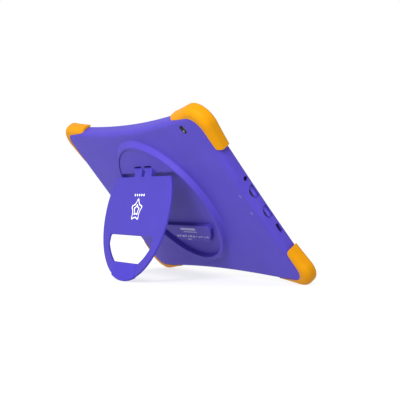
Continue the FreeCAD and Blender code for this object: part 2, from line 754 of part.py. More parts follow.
def make_kickstand_tray():
    body = new_body("kickstand_tray")
    centre = dim("ring_centre")
    radius = dim("ring_radius") - dim("tray_gap")
    disc = lambda sketch: draw_circle(sketch, 0, centre, radius)
    pad(body, "floor", disc, -dim("back_wall"), dim("back_wall"))
    plateau = lambda sketch: draw_segment(sketch, centre, radius, dim("plateau_edge"), from_top=True)
    pad(body, "plateau", plateau, -1, dim("plateau_height") + 1)
    sides = (dim("label_radius"), dim("label_half_width"))
    block = lambda sketch: draw_shield(sketch, centre, *sides, dim("label_top"), dim("label_bottom"))
    pad(body, "label_block", block, -1, dim("label_height") + 1)
    soft = lambda edge: lies_at(edge, number("label_height"))
    round_edges(body, "label_edges", dim("label_edge_round"), soft)

    # Slots for the two knuckles, a notch between them, and the bore of the pin.
    inner, outer = dim("knuckle_inner"), dim("knuckle_outer")
    gap = dim("knuckle_side_gap")
    low, high = dim("plateau_edge") - 1, dim("slot_end")
    for side in (-1, 1):
        near_x, far_x = (inner - gap) * side, (outer + gap) * side
        corners = [(near_x, low), (far_x, low), (far_x, high), (near_x, high)]
        slot = lambda sketch: draw_polygon(sketch, corners)
        cut(body, "knuckle_slot", slot, 0, dim("plateau_height") + 1)
    notch = lambda sketch: draw_rectangle(sketch, 0, dim("plateau_edge"), inner, dim("notch_half_depth"))
    cut(body, "middle_notch", notch, 0, dim("plateau_height") + 1)
    bore = lambda sketch: draw_circle(sketch, dim("hinge_up"), dim("hinge_out"), dim("pin_radius"))
    cut(body, "pin_bore", bore, -dim("pin_half_length"), dim("pin_half_length") * 2, "YZ_Plane")
    return body


def make_hinge_pin():
    body = new_body("hinge_pin")
    rod = lambda sketch: draw_circle(sketch, dim("hinge_up"), dim("hinge_out"), dim("pin_radius"))
    pad(body, "rod", rod, -dim("pin_half_length"), dim("pin_half_length") * 2, "YZ_Plane")
    return body


def make_kickstand_plate():
    """Drawn folded flat, with the hinge axis as its X axis and the plate hanging along -Y."""
    body = new_body("kickstand_plate")
    face = dim("stand_back") - dim("hinge_out")
    inside = face - dim("stand_thickness")
    edge_y = -dim("stand_top")
    radius = dim("stand_radius")
    disc = lambda sketch: draw_segment(sketch, stand_centre, radius, edge_y)
    pad(body, "plate", disc, inside, dim("stand_thickness"))
    round_edges(body, "plate_corners", dim("plate_corner_round"), is_vertical)
    hole = lambda sketch: draw_shield(
        sketch, stand_centre, dim("hole_radius"), dim("hole_half_width"), -dim("hole_top"), -dim("hole_bottom")
    )
    cut(body, "hand_hole", hole, inside - 1, dim("stand_thickness") + 2)
    hole_corner = lambda edge: is_vertical(edge) and edge.BoundBox.Center.y < -number("hole_top") + 0.1
    round_edges(body, "hole_corners", dim("hole_corner_round"), hole_corner)
    rims = lambda edge: lies_at(edge, face.value)
    round_edges(body, "plate_rim", dim("plate_rim_round"), rims)

    inner, outer = dim("knuckle_inner"), dim("knuckle_outer")
    for side in (-1, 1):
        start = inner if side > 0 else -outer
        barrel = lambda sketch: draw_circle(sketch, 0, 0, dim("knuckle_radius"))
        pad(body, "knuckle", barrel, start, outer - inner, "YZ_Plane")
        tab = lambda sketch: draw_polygon(
            sketch, [(edge_y - 1, inside), (0, -dim("knuckle_radius")), (0, face), (edge_y - 1, face)]
        )
        pad(body, "tab", tab, start, outer - inner, "YZ_Plane")
    bore_radius = dim("pin_radius") + dim("pin_clearance")
    bore = lambda sketch: draw_circle(sketch, 0, 0, bore_radius)
    cut(body, "pin_bore", bore, -outer - 1, outer * 2 + 2, "YZ_Plane")
    return body


def make_kickstand_foot():
    """Soft sleeve moulded round the plate between the hand hole and the rim; the stand's lower edge."""
    body = new_body("kickstand_foot")
    inside = dim("stand_back") - dim("hinge_out") - dim("stand_thickness")
    base = inside - dim("foot_proud")
    depth = dim("stand_thickness") + dim("foot_proud") * 2
    radius = dim("stand_radius") + dim("foot_cover")
    block = lambda sketch: draw_segment(sketch, stand_centre, radius, -dim("foot_top"))
    pad(body, "sleeve", block, base, depth)
    for side in (-1, 1):
        near_x, far_x = dim("foot_half_width") * side, radius * side
        corners = [(near_x, -radius * 2), (far_x, -radius * 2), (far_x, 0), (near_x, 0)]
        trim = lambda sketch: draw_polygon(sketch, corners)
        cut(body, "side_trim", trim, base - 1, depth + 2)
    levels = (base.value, (base + depth).value)
    rims = lambda edge: any(lies_at(edge, level) for level in levels)
    round_edges(body, "soft_rims", dim("foot_round"), rims)
    plate = lambda sketch: draw_segment(sketch, stand_centre, dim("stand_radius"), -dim("hole_bottom"))
    cut(body, "plate_slot", plate, inside, dim("stand_thickness"))
    return body


def make_tablet_rear_cover():
    body = new_body("tablet_rear_cover")
    outside = (dim("tablet_half_width"), dim("tablet_half_height"), dim("tablet_corner_radius"))
    outline = lambda sketch: draw_rounded_rectangle(sketch, 0, 0, *outside)
    pad(body, "shell_block", outline, tablet_front, dim("tablet_depth"))
    inside = (inner_half_width, inner_half_height, inner_corner_radius)
    inner = lambda sketch: draw_rounded_rectangle(sketch, 0, 0, *inside)
    cut(body, "shell_hollow", inner, tablet_front, dim("tablet_depth") - dim("shell_wall"))
    back_rim = lambda edge: lies_at(edge, tablet_back.value)
    round_edges(body, "shell_round", dim("tablet_edge_round"), back_rim)
    floor_rim = lambda edge: lies_at(edge, shell_floor.value)
    round_edges(body, "floor_round", dim("inner_edge_round"), floor_rim)

    # Screw bosses that stand on the floor and reach the front frame.
    boss_height = shell_floor - frame_back
    for x, y in SCREW_PLACES:
        boss = lambda sketch: draw_circle(sketch, x, y, dim("boss_radius"))
        pad(body, "boss", boss, frame_back, boss_height + 0.1)
        pilot = lambda sketch: draw_circle(sketch, x, y, dim("screw_radius"))
        cut(body, "boss_pilot", pilot, frame_back, boss_height - 0.4)

    level = dim("port_level")
    wall = dim("shell_wall") + 0.5
    jack = lambda sketch: draw_circle(sketch, dim("jack_at"), level, dim("shell_jack_radius"))
    cut(body, "jack_hole", jack, inner_half_width - 0.2, wall, "YZ_Plane")
    usb_half = (dim("shell_usb_half_length"), dim("shell_usb_half_height"))
    usb = lambda sketch: draw_rectangle(sketch, dim("usb_at"), level, *usb_half)
    cut(body, "usb_hole", usb, inner_half_width - 0.2, wall, "YZ_Plane")
    stem = (dim("key_length") / 2 - dim("key_stem_cut") + 0.2, dim("key_height") / 2 - 0.4)
    for key in ("power_key", "volume_key"):
        hole = lambda sketch: draw_rectangle(sketch, dim(key + "_at"), level, *stem)
        cut(body, key + "_hole", hole, inner_half_width - 0.2, wall, "YZ_Plane")
    lens = lambda sketch: draw_circle(sketch, dim("camera_x"), dim("camera_y"), dim("shell_lens_radius"))
    cut(body, "camera_hole", lens, shell_floor - 0.5, dim("shell_wall") + 1)
    slot_half = (dim("shell_slot_half_length"), dim("shell_slot_half_height"))
    for side in (-1, 1):
        for place in SPEAKER_SLOTS:
            slot = lambda sketch: draw_rectangle(sketch, side * SPEAKER_AT + place, level, *slot_half)
            cut(body, "sound_slot", slot, inner_half_height - 0.2, wall, "XZ_Plane")
    return body


def make_front_frame():
    body = new_body("front_frame")
    gap = dim("glass_gap")
    outside = (inner_half_width - gap, inner_half_height - gap, inner_corner_radius)
    outline = lambda sketch: draw_rounded_rectangle(sketch, 0, 0, *outside)
    pad(body, "frame_plate", outline, adhesive_back, dim("frame_thickness"))
    display = lambda sketch: draw_rectangle(
        sketch, 0, 0, dim("display_half_width") + 0.3, dim("display_half_height") + 0.3
    )
    cut(body, "display_window", display, adhesive_back - 1, dim("frame_thickness") + 2)
    # Clear of the sockets and keys on the port side, and of the front camera.
    sockets = lambda sketch: draw_rectangle(sketch, 121, -8, 7, 35)
    cut(body, "socket_bay", sockets, adhesive_back - 1, dim("frame_thickness") + 2)
    camera = lambda sketch: draw_rectangle(sketch, *FRONT_CAMERA_AT, 3.2, 2.4)
    cut(body, "camera_bay", camera, adhesive_back - 1, dim("frame_thickness") + 2)
    for x, y in SCREW_PLACES:
        shank = lambda sketch: draw_circle(sketch, x, y, dim("screw_radius"))
        cut(body, "screw_hole", shank, adhesive_back - 0.5, dim("frame_thickness") + 1)
        head = lambda sketch: draw_circle(sketch, x, y, dim("screw_head_radius"))
        cut(body, "screw_sink", head, adhesive_back, dim("screw_head_height"))
    return body


def make_housing_screws():
    body = new_body("housing_screws")
    body.AllowCompound = True
    length = 5.0
    for x, y in SCREW_PLACES:
        head = lambda sketch: draw_circle(sketch, x, y, dim("screw_head_radius"))
        pad(body, "head", head, adhesive_back, dim("screw_head_height"))
        shank = lambda sketch: draw_circle(sketch, x, y, dim("screw_radius"))
        pad(body, "shank", shank, adhesive_back + dim("screw_head_height"), length)
    return body


def make_display():
    glass_half = (inner_half_width - dim("glass_gap"), inner_half_height - dim("glass_gap"))
    corner = inner_corner_radius
    glass = slab("cover_glass", (0, 0), glass_half, tablet_front, dim("glass_thickness"), corner)
    adhesive = slab("glass_adhesive", (0, 0), glass_half, glass_back, dim("adhesive_thickness"), corner)
    inside = [half - dim("adhesive_width") for half in glass_half]
    hollow = lambda sketch: draw_rectangle(sketch, 0, 0, *inside)
    cut(adhesive, "adhesive_window", hollow, glass_back - 1, dim("adhesive_thickness") + 2)

    half = (dim("display_half_width"), dim("display_half_height"))
    panel = slab("lcd_panel", (0, 0), half, adhesive_back, dim("panel_thickness"))
    tray_base = adhesive_back + dim("panel_thickness")
    tray = slab("backlight_tray", (0, 0), half, tray_base, dim("tray_thickness"))
    flex_base = tray_base + dim("tray_thickness")
    flex = slab("display_flex", (84, 20), (20, 9), flex_base, 0.3)
    return [glass, adhesive, panel, tray, flex]


def make_electronics():
    level = dim("port_level")
    board_top = dim("board_level")
    battery = slab("battery_pack", (-12, -4), (62, 46), shell_floor - 3.5, 3.4, 2)
    battery_flex = slab("battery_flex", (64, -4), (13.5, 5), board_top + 1.0, 0.3)

    board = slab("main_board", (96, -2), (21, 50), board_top, dim("board_thickness"))
    bay = lambda sketch: draw_rectangle(sketch, 120, dim("jack_at"), 7.2, 3.6)
    cut(board, "jack_bay", bay, board_top - 1, dim("board_thickness") + 2)
    shelf = lambda sketch: draw_rectangle(sketch, 120, dim("usb_at"), 4, 7)
    pad(board, "socket_shelf", shelf, board_top, dim("board_thickness"))

    cans = slab("shield_cans", (92, 16), (13, 12), board_top + 1.0, 1.3, 1)
    cans.AllowCompound = True
    second = lambda sketch: draw_rectangle(sketch, 92, -28, 12, 10)
    pad(cans, "second_can", second, board_top + 1.0, 1.3)

    card = slab("memory_card_socket", (84, -20), (7, 7.5), board_top - 1.1, 1.1)
    card_slot = lambda sketch: draw_rectangle(sketch, 84, -21, 5.8, 7.5)
    cut(card, "card_slot", card_slot, board_top - 0.9, 0.7)
    microphone = slab("microphone", (108, -44), (1.9, 1.4), board_top - 1.0, 1.0)

    usb = new_body("usb_c_socket")
    socket_back = dim("tablet_half_width") - 8.0
    shell = lambda sketch: draw_rectangle(sketch, dim("usb_at"), level, 4.47, 1.6)
    pad(usb, "socket_shell", shell, socket_back, 7.8, "YZ_Plane")
    along_x = lambda edge: edge.BoundBox.XLength > 7
    round_edges(usb, "shell_round", 1.2, along_x)
    mouth = lambda sketch: draw_rectangle(sketch, dim("usb_at"), level, 4.15, 1.28)
    cut(usb, "socket_mouth", mouth, socket_back + 1.5, 7, "YZ_Plane")
    tongue = lambda sketch: draw_rectangle(sketch, dim("usb_at"), level, 3.3, 0.35)
    pad(usb, "tongue", tongue, socket_back + 1.0, 5.6, "YZ_Plane")

    jack = new_body("audio_jack")
    jack_back = dim("tablet_half_width") - dim("jack_collar_gap") - dim("jack_length")
    block_length = dim("jack_length") - dim("jack_collar_length")
    block = lambda sketch: draw_rectangle(sketch, dim("jack_at"), level, 3.2, 2.0)
    pad(jack, "jack_block", block, jack_back, block_length, "YZ_Plane")
    collar = lambda sketch: draw_circle(sketch, dim("jack_at"), level, 2.7)
    pad(jack, "jack_collar", collar, jack_back + block_length, dim("jack_collar_length"), "YZ_Plane")
    bore = lambda sketch: draw_circle(sketch, dim("jack_at"), level, dim("jack_bore_radius"))
    cut(jack, "jack_bore", bore, jack_back + 1.0, dim("jack_length"), "YZ_Plane")

    key_board = slab("side_key_board", (121.2, -8), (0.4, 17.5), level - 1.6, 3.2)
    switches = new_body("key_switches")
    switches.AllowCompound = True
    for index, place in enumerate((dim("power_key_at"), dim("volume_key_at") - 3, dim("volume_key_at") + 3)):
        button = lambda sketch: draw_rectangle(sketch, place, level, 1.5, 1.2)
        pad(switches, f"switch_{index}", button, 121.6, 1.2, "YZ_Plane")

    speakers = []
    for side, name in ((1, "loudspeaker_left"), (-1, "loudspeaker_right")):
        box = slab(name, (side * SPEAKER_AT, -69.6), (19, 8), shell_floor - 4.0, 3.9, 1.5)
        cone = lambda sketch: draw_rectangle(sketch, side * SPEAKER_AT, -69.6, 15, 5)
        cut(box, "cone_recess", cone, shell_floor - 4.0, 0.8)
        speakers.append(box)

    camera_at = (dim("camera_x"), dim("camera_y"))
    module_half = (dim("camera_module_half"), dim("camera_module_half"))
    rear_camera = slab("rear_camera_module", camera_at, module_half, shell_floor - 4.1, 3.4)
    barrel = lambda sketch: draw_circle(sketch, *camera_at, 2.9)
    pad(rear_camera, "lens_barrel", barrel, shell_floor - 0.8, 1.4)
    aperture = lambda sketch: draw_circle(sketch, *camera_at, 1.4)
    cut(rear_camera, "lens_aperture", aperture, shell_floor + 0.1, 1)
    window = new_body("camera_window")
    disc = lambda sketch: draw_circle(sketch, *camera_at, dim("camera_window_radius"))
    pad(window, "window_disc", disc, tablet_back - 0.5, 0.5)

    front_camera = slab("front_camera_module", FRONT_CAMERA_AT, (3, 2.2), adhesive_back, 3.4)
    eye = lambda sketch: draw_circle(sketch, *FRONT_CAMERA_AT, 0.9)
    cut(front_camera, "camera_eye", eye, adhesive_back, 0.6)
    antenna = slab("wifi_antenna", (-60, 74), (24, 3.5), shell_floor - 0.4, 0.3)
    return [
        battery,
        battery_flex,
        board,
        cans,
        card,
        microphone,
        usb,
        jack,
        key_board,
        switches,
        *speakers,
        rear_camera,
        window,
        front_camera,
        antenna,
    ]


def make_key(name, rocks=False):
    """A side key: a cap in the case wall with a narrower stem through the tablet's shell."""
    body = new_body(name)
    level = dim("port_level")
    stem_end = dim("key_stem_end")
    cap_base = dim("tablet_half_width") + 0.6
    half_length, half_height = dim("key_length") / 2, dim("key_height") / 2
    cap = lambda sketch: draw_rectangle(sketch, dim(name + "_at"), level, half_length, half_height)
    pad(body, "cap", cap, cap_base, key_face - cap_base, "YZ_Plane")
    cap_edges = lambda edge: edge.BoundBox.XLength > 0.5
    round_edges(body, "cap_round", 1.2, cap_edges)
    stem_half = (half_length - dim("key_stem_cut"), half_height - 0.6)
    stem = lambda sketch: draw_rectangle(sketch, dim(name + "_at"), level, *stem_half)
    pad(body, "stem", stem, stem_end, cap_base - stem_end + 0.2, "YZ_Plane")
    if rocks:
        # Two stubs on the stem, on which the key rocks in the slot of the tablet's shell.
        pivot_at = (dim("pivot_depth"), dim(name + "_at"))
        pivot = lambda sketch: draw_circle(sketch, *pivot_at, dim("pivot_radius"))
        reach = dim("pivot_half_length")
        pad(body, "pivot", pivot, level - reach, reach * 2)
    return body


# ---------------------------------------------------------------- standing pose


def standing_pose():
    """Lean the tablet back until the lower guards and the foot share one floor.

    Both touch the floor with a rounded edge, so the floor is the common tangent of two circles.
    """
    angle = math.radians(number("stand_angle"))
    guard_round = number("guard_back_round")
    guard_y = -exact_box(document.getObject("corner_guard_top_left")).YMax + guard_round
    guard_z = -number("guard_back_drop") - guard_round
    foot_round = number("foot_round")
    along = number("stand_radius") + number("foot_cover") - stand_centre.value - foot_round
    inside = number("stand_back") - number("hinge_out") - number("stand_thickness")
    out = inside - number("foot_proud") + foot_round
    foot_y = number("hinge_up") - along * math.cos(angle) + out * math.sin(angle)
    foot_z = number("hinge_out") + along * math.sin(angle) + out * math.cos(angle)
    span = math.hypot(foot_y - guard_y, foot_z - guard_z)
    lean = math.atan2(foot_z - guard_z, foot_y - guard_y) + math.asin((foot_round - guard_round) / span)
    rise = guard_round - (guard_y * math.sin(lean) - guard_z * math.cos(lean))
    return lean, rise


def exact_box(body):
    return body.Shape.optimalBoundingBox(False, False)


def main():
    fill_sheet()
    parts = [make_bumper_case()]
    parts += [make_corner_guard(name, side, up) for name, (side, up) in CORNERS.items()]
    parts += [make_kickstand_tray(), make_hinge_pin()]
    parts += [make_tablet_rear_cover(), make_front_frame(), make_housing_screws()]
    parts += make_display()
    parts += make_electronics()
    parts += [make_key("power_key"), make_key("volume_key", rocks=True)]
    stand = [make_kickstand_plate(), make_kickstand_foot()]
    document.recompute()

    lean, rise = standing_pose()
    turn = FreeCAD.Rotation(FreeCAD.Vector(1, 0, 0), 180 + math.degrees(lean))
    face_away = FreeCAD.Rotation(FreeCAD.Vector(0, 0, 1), 180)
    pose = FreeCAD.Placement(FreeCAD.Vector(0, 0, rise), turn * face_away)
    hinge = FreeCAD.Vector(0, number("hinge_up"), number("hinge_out"))
    opened = FreeCAD.Rotation(FreeCAD.Vector(1, 0, 0), -number("stand_angle"))
    for body in parts:
        body.Placement = pose
    for body in stand:
        body.Placement = pose * FreeCAD.Placement(hinge, opened)
    document.recompute()

    # The model's origin is the middle of its footprint on the floor.
    boxes = [exact_box(body) for body in parts + stand]
    middle = (min(box.YMin for box in boxes) + max(box.YMax for box in boxes)) / 2
    shift = FreeCAD.Placement(FreeCAD.Vector(0, -middle, 0), FreeCAD.Rotation())
    for body in parts + stand:
        body.Placement = shift * body.Placement
    document.recompute()

    for item in document.Objects:
        if {"Invalid", "Error"} & set(item.State):
            raise RuntimeError(f"{item.Name}: {item.State}")
    os.makedirs("parts", exist_ok=True)
    for body in parts + stand:
        if body.Shape.isNull() or not body.Shape.isValid():
            raise RuntimeError(f"{body.Label}: bad shape")
        body.Shape.exportStep(f"parts/{body.Label}.step")
    lowest = {body.Label: exact_box(body).ZMin for body in parts + stand}
    print(f"lean {math.degrees(lean):.3f} deg, rise {rise:.3f} mm, shift {-middle:.3f} mm")
    for name in ("corner_guard_bottom_left", "corner_guard_bottom_right", "kickstand_foot"):
        print(f"{name} stands at {lowest[name]:.4f} mm")
    for body in parts + stand:
        print(f"{body.Label}: {len(body.Shape.Solids)} solids, {body.Shape.Volume:.1f} mm3")


main()
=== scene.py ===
import json
import math

import bmesh
import bpy
from mathutils import Matrix, Vector


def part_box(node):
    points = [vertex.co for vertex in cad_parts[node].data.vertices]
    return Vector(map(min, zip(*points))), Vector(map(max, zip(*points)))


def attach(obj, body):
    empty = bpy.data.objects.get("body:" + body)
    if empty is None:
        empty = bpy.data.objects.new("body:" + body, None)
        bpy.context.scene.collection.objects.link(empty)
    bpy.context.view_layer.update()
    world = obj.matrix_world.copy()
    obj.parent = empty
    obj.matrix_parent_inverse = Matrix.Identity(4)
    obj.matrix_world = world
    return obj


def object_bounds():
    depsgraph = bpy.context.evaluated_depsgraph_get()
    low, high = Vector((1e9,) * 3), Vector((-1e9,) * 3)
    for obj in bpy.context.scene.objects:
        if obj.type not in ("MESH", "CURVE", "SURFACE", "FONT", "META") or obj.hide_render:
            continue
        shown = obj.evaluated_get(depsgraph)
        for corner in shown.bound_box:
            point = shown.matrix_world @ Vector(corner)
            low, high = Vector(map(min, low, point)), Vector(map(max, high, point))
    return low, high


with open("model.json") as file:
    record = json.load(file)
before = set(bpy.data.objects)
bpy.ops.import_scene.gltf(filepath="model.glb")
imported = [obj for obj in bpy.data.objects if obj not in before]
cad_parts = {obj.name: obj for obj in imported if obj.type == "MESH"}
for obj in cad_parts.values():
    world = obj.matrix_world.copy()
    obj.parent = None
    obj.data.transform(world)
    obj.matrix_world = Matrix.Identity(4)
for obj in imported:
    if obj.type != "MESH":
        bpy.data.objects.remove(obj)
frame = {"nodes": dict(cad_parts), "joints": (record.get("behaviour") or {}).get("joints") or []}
cad_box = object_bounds()
nodes = frame["nodes"]
joints = {joint["name"]: joint for joint in frame["joints"]}

MM = 0.001

# ---------------------------------------------------------------- places in the frame

# ALONG points to the port side, UP to the camera edge and OUT away from the tablet's back. The rocker
# key turns about OUT, and the hinge axis lies this far up and out from the tablet's origin.
HINGE_UP = 42.0
HINGE_OUT = 2.8
HINGE = Vector(joints["kickstand_hinge"]["pos_m"])
OUT = Vector(joints["volume_key_rock"]["axis"]).normalized()
ALONG = Vector((-1, 0, 0))
UP = OUT.cross(ALONG)
# The stand's opening at rest, its face above the hinge axis, and the label block's face.
STAND_ANGLE = math.radians(52.0)
STAND_FACE = 1.8
LABEL_FACE = 3.9
# The case's back is flat round the ring's centre and falls away as a dome outside that.
RING_UP = 2.0
DOME_START = 60.0
DOME_RADIUS = 2050.0


def axes_matrix(origin, x, y, z):
    """The matrix from millimetres along three axes to the frame's metres."""
    matrix = Matrix.Identity(4)
    for column, axis in enumerate((x, y, z)):
        for row in range(3):
            matrix[row][column] = axis[row] * MM
    matrix.translation = origin
    return matrix


# Millimetres in the tablet's frame: x to the port side, y to the camera edge, z out of the back.
TABLET = axes_matrix(HINGE - (UP * HINGE_UP + OUT * HINGE_OUT) * MM, ALONG, UP, OUT)
# Millimetres in the stand's frame: y up the plate towards the hinge, z out of its face.
STAND_UP = UP * math.cos(STAND_ANGLE) - OUT * math.sin(STAND_ANGLE)
STAND_OUT = UP * math.sin(STAND_ANGLE) + OUT * math.cos(STAND_ANGLE)
STAND = axes_matrix(HINGE, ALONG, STAND_UP, STAND_OUT)

# ---------------------------------------------------------------- materials

# Noise patterns: scale per metre, and detail.
CLOUD_NOISE = (38.0, 5.0)
SPECK_NOISE = (1600.0, 2.0)
SWELL_NOISE = (60.0, 1.0)
PIT_DETAIL = 3.0
# Most of a noise pattern's values lie between these two.
NOISE_LOW = 0.3
NOISE_HIGH = 0.7
ROUGHNESS_SPREAD = 0.05
BUMP_STRENGTH = 0.4
GROOVE_STRENGTH = 0.5


def new_material(name, colour, roughness, **settings):
    """A material whose settings are its shader's own sockets, with underscores for spaces."""
    material = bpy.data.materials.new(name)
    material.use_nodes = True
    shader = material.node_tree.nodes["Principled BSDF"]
    shader.inputs["Base Color"].default_value = (*colour, 1)
    shader.inputs["Roughness"].default_value = roughness
    for key, value in settings.items():
        shader.inputs[key.replace("_", " ")].default_value = value
    return material, material.node_tree, shader


def noise(tree, place, scale, detail):
    """A noise pattern over a place in metres, its scale per metre."""
    pattern = tree.nodes.new("ShaderNodeTexNoise")
    pattern.inputs["Scale"].default_value = scale
    pattern.inputs["Detail"].default_value = detail
    tree.links.new(place, pattern.inputs["Vector"])
    return pattern.outputs["Fac"]


def bump(tree, height, strength, distance):
    """A bump of the given distance in millimetres."""
    relief = tree.nodes.new("ShaderNodeBump")
    relief.inputs["Strength"].default_value = strength
    relief.inputs["Distance"].default_value = distance * MM
    tree.links.new(height, relief.inputs["Height"])
    return relief


def finish(name, colour, roughness, mottle=0.04, grain=0.3, grain_depth=0.02, ripple=0.1, **settings):
    """A cloudy colour with a fine eroded grain and faint large ripples.

    Mottle is a share of the colour, and grain, grain_depth and ripple are in millimetres.
    """
    material, tree, shader = new_material(name, colour, roughness, **settings)
    link = tree.links.new
    place = tree.nodes.new("ShaderNodeTexCoord").outputs["Object"]

    shades = tree.nodes.new("ShaderNodeValToRGB")
    shades.color_ramp.elements[0].position = NOISE_LOW
    shades.color_ramp.elements[1].position = NOISE_HIGH
    shades.color_ramp.elements[0].color = (*[channel * (1 - mottle) for channel in colour], 1)
    shades.color_ramp.elements[1].color = (*[min(1, channel * (1 + mottle)) for channel in colour], 1)
    link(noise(tree, place, *CLOUD_NOISE), shades.inputs["Fac"])
    link(shades.outputs["Color"], shader.inputs["Base Color"])

    gloss = tree.nodes.new("ShaderNodeMapRange")
    gloss.inputs["From Min"].default_value = NOISE_LOW
    gloss.inputs["From Max"].default_value = NOISE_HIGH
    gloss.inputs["To Min"].default_value = roughness - ROUGHNESS_SPREAD
    gloss.inputs["To Max"].default_value = min(1, roughness + ROUGHNESS_SPREAD)
    link(noise(tree, place, *SPECK_NOISE), gloss.inputs["Value"])
    link(gloss.outputs["Result"], shader.inputs["Roughness"])

    fine = bump(tree, noise(tree, place, 1 / MM / grain, PIT_DETAIL), BUMP_STRENGTH, grain_depth)
    broad = bump(tree, noise(tree, place, *SWELL_NOISE), BUMP_STRENGTH, ripple)
    link(fine.outputs["Normal"], broad.inputs["Normal"])
    link(broad.outputs["Normal"], shader.inputs["Normal"])
    return material


def seam_lines(material, levels, half_width, depth):
    """Fine moulded lines round a piece, at heights in the tablet's frame, all in millimetres."""
    tree = material.node_tree
    make = tree.nodes.new
    link = tree.links.new
    height = make("ShaderNodeVectorMath")
    height.operation = "DOT_PRODUCT"
    height.inputs[1].default_value = OUT
    link(make("ShaderNodeTexCoord").outputs["Object"], height.inputs[0])
    base = TABLET.translation.dot(OUT)
    groove = None
    for level in levels:
        near = make("ShaderNodeMath")
        near.operation = "COMPARE"
        near.inputs[1].default_value = base + level * MM
        near.inputs[2].default_value = half_width * MM
        link(height.outputs["Value"], near.inputs[0])
        if groove is None:
            groove = near
            continue
        both = make("ShaderNodeMath")
        both.operation = "MAXIMUM"
        link(groove.outputs[0], both.inputs[0])
        link(near.outputs[0], both.inputs[1])
        groove = both
    relief = bump(tree, groove.outputs[0], GROOVE_STRENGTH, depth)
    relief.invert = True
    shader = tree.nodes["Principled BSDF"]
    link(shader.inputs["Normal"].links[0].from_socket, relief.inputs["Normal"])
    link(relief.outputs["Normal"], shader.inputs["Normal"])


SMOOTH = dict(grain_depth=0.0, ripple=0.0)
LOOKS = {
    # One for each material slot of the record.
    "case_purple": dict(colour=(0.0585, 0.0395, 0.338), roughness=0.55, grain=0.35, Specular_IOR_Level=0.13),
    "guard_orange": dict(colour=(0.49, 0.202, 0.002), roughness=0.5, grain=0.3, Specular_IOR_Level=0.05),
    "stand_purple": dict(colour=(0.042, 0.0285, 0.295), roughness=0.5, grain=0.25, Specular_IOR_Level=0.13),
    "tray_purple": dict(colour=(0.06, 0.041, 0.325), roughness=0.55, grain=0.3, Specular_IOR_Level=0.12),
    "foot_purple": dict(colour=(0.043, 0.0285, 0.34), roughness=0.6, grain=0.35, Specular_IOR_Level=0.12),
    # key_purple is a lighter copy of the case's purple: painted light that brightens the key faces, which
    # sit in shade in their recesses.
    "key_purple": dict(colour=(0.08, 0.057, 0.46), roughness=0.55, Specular_IOR_Level=0.2),
    "steel": dict(colour=(0.62, 0.62, 0.64), roughness=0.28, Metallic=1.0),
    "shell_black": dict(colour=(0.012, 0.012, 0.014), roughness=0.45),
    "frame_grey": dict(colour=(0.03, 0.03, 0.033), roughness=0.4),
    "cover_glass": dict(colour=(0.004, 0.004, 0.006), roughness=0.06, **SMOOTH),
    "window_glass": dict(colour=(0.01, 0.01, 0.012), roughness=0.1, **SMOOTH),
    "adhesive_black": dict(colour=(0.008, 0.008, 0.008), roughness=0.7),
    "panel_dark": dict(colour=(0.008, 0.008, 0.014), roughness=0.25),
    "backlight_white": dict(colour=(0.7, 0.71, 0.74), roughness=0.5),
    "flex_amber": dict(colour=(0.27, 0.09, 0.007), roughness=0.35),
    "battery_foil": dict(colour=(0.5, 0.51, 0.53), roughness=0.35, Metallic=0.8),
    "board_green": dict(colour=(0.004, 0.06, 0.02), roughness=0.4),
    "shield_tin": dict(colour=(0.5, 0.51, 0.52), roughness=0.3, Metallic=1.0),
    "module_black": dict(colour=(0.01, 0.01, 0.011), roughness=0.5),
    # The added pieces' own.
    "print_white": dict(colour=(0.86, 0.86, 0.88), roughness=0.5, mottle=0.02, grain_depth=0.01),
    "print_grey": dict(colour=(0.3, 0.28, 0.48), roughness=0.6, mottle=0.05, grain_depth=0.01),
    "print_faint": dict(colour=(0.125, 0.11, 0.40), roughness=0.6, mottle=0.05, grain_depth=0.01),
    "bezel_black": dict(
        colour=(0.006, 0.007, 0.004), roughness=0.35, grain=0.15, grain_depth=0.01, ripple=0.0
    ),
    # Painted shade: a near-black sheet that stands in for the shadow in the gaps beside the keys.
    "painted_shade_black": dict(colour=(0.01, 0.008, 0.02), roughness=0.9, grain=0.5, grain_depth=0.05, ripple=0.0),
    "lens_glass": dict(colour=(0.012, 0.014, 0.01), roughness=0.22, **SMOOTH),
    "screen_dark": dict(colour=(0.009, 0.01, 0.014), roughness=0.09, **SMOOTH),
}
FINISHES = {name: finish(name, **look) for name, look in LOOKS.items()}
seam_lines(FINISHES["guard_orange"], levels=(-8.2, -10.4), half_width=0.3, depth=0.35)

# A CAD node's material carries the name of its slot.
for node in nodes.values():
    for material_slot in node.material_slots:
        material_slot.material = FINISHES[material_slot.material.name.split(".")[0]]

# ---------------------------------------------------------------- shapes


def add_piece(name, mesh, body, look):
    """A piece at the origin, because its mesh is made in place."""
    piece = bpy.data.objects.new(name, mesh)
    bpy.context.scene.collection.objects.link(piece)
    mesh.materials.append(FINISHES[look])
    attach(piece, body)


def raised_shapes(name, outlines, matrix, base, height):
    """Flat shapes, each a closed outline of x, y in millimetres, that reach height above and below base."""
    mesh = bpy.data.meshes.new(name)
    shape = bmesh.new()
    for outline in outlines:
        top = [shape.verts.new(matrix @ Vector((x, y, base + height))) for x, y in outline]
        low = [shape.verts.new(matrix @ Vector((x, y, base - height))) for x, y in outline]
        shape.faces.new(top)
        shape.faces.new(low[::-1])
        count = len(outline)
        for index in range(count):
            following = (index + 1) % count
            shape.faces.new((low[index], low[following], top[following], top[index]))
    bmesh.ops.triangulate(shape, faces=[face for face in shape.faces if len(face.verts) > 4])
    bmesh.ops.recalc_face_normals(shape, faces=shape.faces)
    shape.to_mesh(mesh)
    shape.free()
    return mesh


def rounded_bar(x, y, half_length, half_height, steps=8):
    """A bar with round ends, or a disc where its two halves are equal."""
    reach = half_length - half_height
    outline = []
    for side, start in ((1, -math.pi / 2), (-1, math.pi / 2)):
        for step in range(steps + 1):
            angle = start + math.pi * step / steps
            bar_x = x + side * reach + half_height * math.cos(angle)
            outline.append((bar_x, y + half_height * math.sin(angle)))
    return outline


